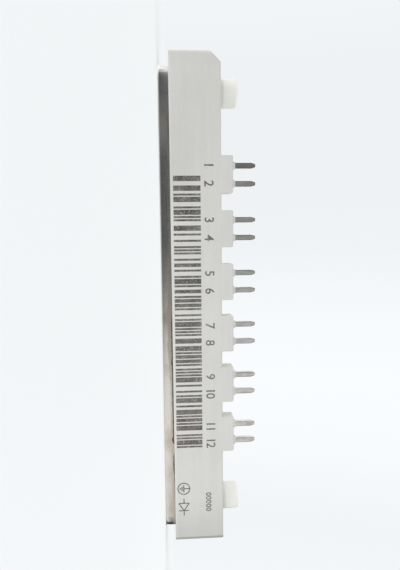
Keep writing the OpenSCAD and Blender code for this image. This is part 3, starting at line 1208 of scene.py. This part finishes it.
@dataclass
class BasePlate:
    """Nickel-plated copper plate with a round lower edge, more worn at the corners at +X."""

    plating: NickelPlating = NickelPlating()
    corner_wear: float = 0.6 * MM
    round_steps: int = 4
    smooth: float = 50.0
    tiny: float = 0.01 * MM

    def build(self) -> None:
        """Builds the dressed plate."""
        mesh = welded_copy("base_plate")
        self.round_edge(mesh)
        plating = self.plating.material("nickel_plating")
        plate = new_piece("dressed_plate", mesh, "nickel_plate", plating)
        shade_by_angle(mesh, self.smooth)
        even_normals(plate)
        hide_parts("base_plate")

    def round_edge(self, mesh: bpy.types.Mesh) -> None:
        """Turns the break along the lower edge into a round, which is larger at the worn corners.

        Each point of the break moves in from the plate's side and up from its underside,
        by how far it is along the quarter turn from one to the other.

        Args:
            mesh: The plate's mesh.
        """
        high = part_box("base_plate")[1]
        work = bmesh.new()
        work.from_mesh(mesh)
        least = min(v.co.z for v in work.verts if v.co.z > self.tiny)
        ends = [v for v in work.verts if high.x - v.co.x < self.tiny]
        radius = high.y - max(v.co.y for v in ends)
        rim = [e for e in work.edges if sorted(round(v.co.z / least, 2) for v in e.verts) == [0, 1]]
        bmesh.ops.subdivide_edges(work, edges=rim, cuts=self.round_steps - 1)
        for v in work.verts:
            way = Vector((abs(v.co.x) - high.x + radius, abs(v.co.y) - high.y + radius))
            corner = way.x > 0 and way.y > 0
            side = Vector((1, 0)) if way.x > way.y else Vector((0, 1))
            inset = radius - (way.length if corner else max(way))
            if v.co.z > least + self.tiny or inset > least + self.tiny:
                continue
            out = way.normalized() if corner else side
            wear = self.corner_wear if v.co.x > 0 else 0.0
            size = least + wear * 2 * out.x * out.y
            turn = math.pi / 2 * v.co.z / least
            shift = inset - size * (1 - math.sin(turn))
            v.co.x += math.copysign(out.x * shift, v.co.x)
            v.co.y += math.copysign(out.y * shift, v.co.y)
            v.co.z = size * (1 - math.cos(turn))
        work.to_mesh(mesh)
        work.free()


@dataclass
class PinRow:
    """One row of solder pins, each with its stamped edges broken."""

    row: Row
    tin: Material
    edge_tin: Material
    edge: float = 0.13 * MM
    edge_steps: int = 2
    edge_angle: float = math.radians(20)

    def build(self) -> None:
        """Builds the dressed pins of the row."""
        for node in self.row.nodes():
            mesh = welded_copy(node)
            pin = new_piece(f"dressed_{node}", mesh, "tinned_pin", self.tin)
            shade_by_angle(mesh)
            edges = pin.modifiers.new("broken_edges", "BEVEL")
            edges.width = self.edge
            edges.segments = self.edge_steps
            edges.limit_method = "ANGLE"
            edges.angle_limit = self.edge_angle
            edges.harden_normals = True
            edges.material = len(mesh.materials)
            mesh.materials.append(self.edge_tin)
            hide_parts(node)


# ---------------------------------------------------------------- circuit


@dataclass
class Circuit:
    """Everything under the lid: tiles, dies, wires and gel."""

    copper: BareMetal = BareMetal(
        colour=(0.74, 0.42, 0.27), roughness=0.32, blotch=(0.50, 0.26, 0.17),
        blotch_size=3 * MM, relief_size=0.375 * MM, relief_depth=0.004 * MM,
    )
    solder: BareMetal = BareMetal(
        colour=(0.55, 0.55, 0.56), roughness=0.38, blotch=(0.38, 0.38, 0.39),
        blotch_size=2 * MM, relief_size=0.25 * MM, relief_depth=0.01 * MM,
    )
    wire: BareMetal = BareMetal(
        colour=(0.82, 0.82, 0.83), roughness=0.28, blotch=(0.70, 0.70, 0.71),
        blotch_size=1 * MM, relief_size=0.125 * MM, relief_depth=0.002 * MM,
    )
    ceramic: Ceramic = Ceramic()
    die: SiliconDie = SiliconDie()
    diode: SiliconDie = SiliconDie(colour=(0.50, 0.49, 0.45), trench=(0.44, 0.43, 0.40))
    gel: SoftGel = SoftGel()

    def build(self) -> None:
        """Dresses the circuit's nodes."""
        copper = self.copper.material("etched_copper")
        for prefix, material in (
            ("back_copper", copper),
            ("top_copper", copper),
            ("solder", self.solder.material("solder")),
            ("bond_wires", self.wire.material("bond_wire")),
            ("ceramic", self.ceramic.material("ceramic")),
            ("switch_die", self.die.material("switch_die")),
            ("diode_die", self.diode.material("diode_die")),
            ("gel_fill", self.gel.material("soft_gel")),
        ):
            dress_nodes(nodes_with(prefix), material)


# ---------------------------------------------------------------- studio


@dataclass(frozen=True)
class Tent:
    """White tent round the module, by direction: its light, what metal mirrors and what shows.

    It is darker towards its open front, and each span is a range of the direction's X or Y
    part over which one stretch passes into the next.
    """

    light_round: float = 0.92
    light_front: float = 0.585
    front_y: Span = (-0.15, -0.75)
    light_first_end: float = 0.60
    first_end_x: Span = (-0.35, -0.95)
    light_far_end: float = 0.42
    far_end_x: Span = (0.35, 0.95)
    open_y: Span = (-0.1, -0.45)
    open_first_x: Span = (-0.93, -0.85)
    open_far_x: Span = (0.315, 0.055)
    behind_y: Span = (-0.45, -0.2)
    behind_x: Span = (0.4, 0.5)
    foot_stops: Steps = ((0.46, 0.0), (0.50, 0.16), (0.545, 0.60), (0.60, 0.75), (0.95, 0.75))
    end_wall: Colour = (1.5, 1.5, 1.5)
    near_wall_x: Span = (-0.85, -0.93)
    far_wall_x: Span = (-0.45, -0.55)
    far_wall_y: Span = (0.4, 0.5)
    gap: Colour = (0.83, 0.84, 0.82)
    gap_x: Span = (-0.6, -0.7)
    gap_near_y: Span = (0.10, 0.18)
    gap_far_y: Span = (0.62, 0.54)
    shown: Colour = (0.972, 1.0, 1.018)
    shown_stops: Steps = (
        (-0.40, 0.912), (-0.27, 0.882), (-0.05, 0.890), (0.04, 0.900), (0.12, 0.935), (0.20, 0.962),
        (0.28, 0.978), (0.36, 0.974), (0.42, 0.960), (0.50, 0.920), (0.53, 0.915), (0.60, 0.925),
    )

    def light(
        self, tree: ShaderTree, x: Socket, y: Socket
    ) -> Socket:
        """Finds the light's level in one direction.

        Args:
            tree: The world's tree.
            x: The direction's X part.
            y: Its Y part.

        Returns:
            The level's output.
        """
        front = tree.remap(y, self.front_y, ease=Ease.SMOOTH)
        level = tree.remap(front, (0.0, 1.0), (self.light_round, self.light_front))
        first_end = tree.remap(x, self.first_end_x, (0.0, self.light_first_end))
        far_end = tree.remap(x, self.far_end_x, (0.0, self.light_far_end))
        return tree.maths("ADD", level, tree.maths("ADD", first_end, far_end))

    def mirrored(
        self, tree: ShaderTree, x: Socket, y: Socket
    ) -> Socket:
        """Finds what metal mirrors in one direction.

        The open front and the far end's foot are dark. The end wall at -X is brightest,
        with a greyer gap down its middle.

        Args:
            tree: The world's tree.
            x: The direction's X part.
            y: Its Y part.

        Returns:
            The colour's output.
        """
        first = tree.remap(x, self.open_first_x, ease=Ease.SMOOTH)
        far = tree.remap(x, self.open_far_x, ease=Ease.SMOOTH)
        open_front = tree.maths("MULTIPLY", first, far)
        front = tree.maths("MULTIPLY", tree.remap(y, self.open_y, ease=Ease.SMOOTH), open_front)
        behind = tree.maths("MULTIPLY", tree.remap(y, self.behind_y), tree.remap(x, self.behind_x))
        foot = tree.maths("ADD", tree.ramp(x, self.foot_stops), behind)
        tent = tree.blend(tree.maths("ADD", front, foot), MIRROR_BRIGHT, MIRROR_DARK)
        far_wall = (tree.remap(x, self.far_wall_x), tree.remap(y, self.far_wall_y))
        far_part = tree.maths("MULTIPLY", *far_wall)
        wall_part = tree.maths("MAXIMUM", tree.remap(x, self.near_wall_x), far_part)
        wall = tree.blend(wall_part, tent, self.end_wall)
        sides = (tree.remap(y, self.gap_near_y), tree.remap(y, self.gap_far_y))
        across = tree.maths("MULTIPLY", *sides)
        return tree.blend(tree.maths("MULTIPLY", across, tree.remap(x, self.gap_x)), wall, self.gap)

    def build(self) -> None:
        """Makes the world that the tent stands for."""
        world = bpy.data.worlds.new("tent")
        bpy.context.scene.world = world
        tree = ShaderTree(world)
        way = tree.node("ShaderNodeTexCoord", {}).outputs["Generated"]
        x = tree.axis(way, "X")
        y = tree.axis(way, "Y")
        path = tree.node("ShaderNodeLightPath", {}).outputs
        sent = tree.blend(path["Is Glossy Ray"], self.light(tree, x, y), self.mirrored(tree, x, y))
        shown = tree.tinted(tree.ramp(x, self.shown_stops), self.shown)
        colour = tree.blend(path["Is Camera Ray"], sent, shown)
        shine = tree.node("ShaderNodeBackground", {"Color": colour, "Strength": 1.0})
        tree.node("ShaderNodeOutputWorld", {"Surface": shine.outputs[0]})


@dataclass
class Studio:
    """Camera, table, tent and a soft spot. Places of the camera and the spot are in millimetres."""

    tent: Tent = Tent()
    table_top: TableTop = TableTop()
    table_size: float = 6.0
    table_gap: float = 0.005 * MM
    lens: float = 30.8
    eye: Point = (-17.17, -126.73, 1.82)
    tilt: float = 0.0617
    roll: float = 0.0173
    pan: float = -0.1136
    near: float = 0.4 * MM
    far: float = 20.0
    spot_power: float = 2.3
    spot_place: Point = (60, -500, 330)
    spot_aim: Point = (12, -22, 8)
    spot_angle: float = math.radians(9)
    spot_radius: float = 60 * MM

    def build(self) -> None:
        """Builds the stage round the module."""
        self.camera()
        self.table()
        self.tent.build()
        self.spot()
        bpy.context.scene.view_settings.view_transform = "Standard"

    def camera(self) -> None:
        """Places the camera, close to the table and turned on its side."""
        data = bpy.data.cameras.new("camera")
        data.lens = self.lens
        data.clip_start = self.near
        data.clip_end = self.far
        camera = bpy.data.objects.new("camera", data)
        on_side = Matrix(((0, -1, 0), (0, 0, -1), (1, 0, 0)))
        turn = Euler((self.tilt, self.roll, self.pan)).to_matrix() @ on_side
        camera.matrix_world = Matrix.Translation(Vector(self.eye) * MM) @ turn.to_4x4()
        bpy.context.scene.collection.objects.link(camera)
        bpy.context.scene.camera = camera

    def table(self) -> None:
        """Lays a table top under the module, a hair below it so that the two never meet."""
        half = self.table_size / 2
        mesh = bpy.data.meshes.new("floor")
        ways = ((-1, -1), (1, -1), (1, 1), (-1, 1))
        corners = [(half * a, half * b, -self.table_gap) for a, b in ways]
        mesh.from_pydata(corners, [], [(0, 1, 2, 3)])
        mesh.materials.append(self.table_top.material("table"))
        table = bpy.data.objects.new("floor", mesh)
        bpy.context.scene.collection.objects.link(table)

    def spot(self) -> None:
        """Adds a wide soft spot on the module's middle, too soft to show on metal."""
        data = bpy.data.lights.new("spot", "SPOT")
        data.energy = self.spot_power
        data.spot_size = self.spot_angle
        data.spot_blend = 1.0
        data.shadow_soft_size = self.spot_radius
        place = Vector(self.spot_place) * MM
        way = Vector(self.spot_aim) * MM - place
        lamp = bpy.data.objects.new("spot", data)
        lamp.location = place
        lamp.rotation_euler = way.to_track_quat("-Z", "Y").to_euler()
        lamp.visible_glossy = False
        bpy.context.scene.collection.objects.link(lamp)


# ---------------------------------------------------------------- assembly


def main() -> None:
    """Builds the module's looks and its stage."""
    logging.basicConfig(level=logging.INFO, format="%(message)s")
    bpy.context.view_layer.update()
    tin = TinnedPin().material("tinned_pin")
    edge_tin = RubbedTin().material("tinned_edge")
    rows = [PinRow(row, tin, edge_tin) for row in Row]
    for assembly in (Housing(), BasePlate(), *rows, Circuit(), Studio()):
        LOG.info("building %s", type(assembly).__name__)
        assembly.build()


if __name__ == "__main__":
    main()
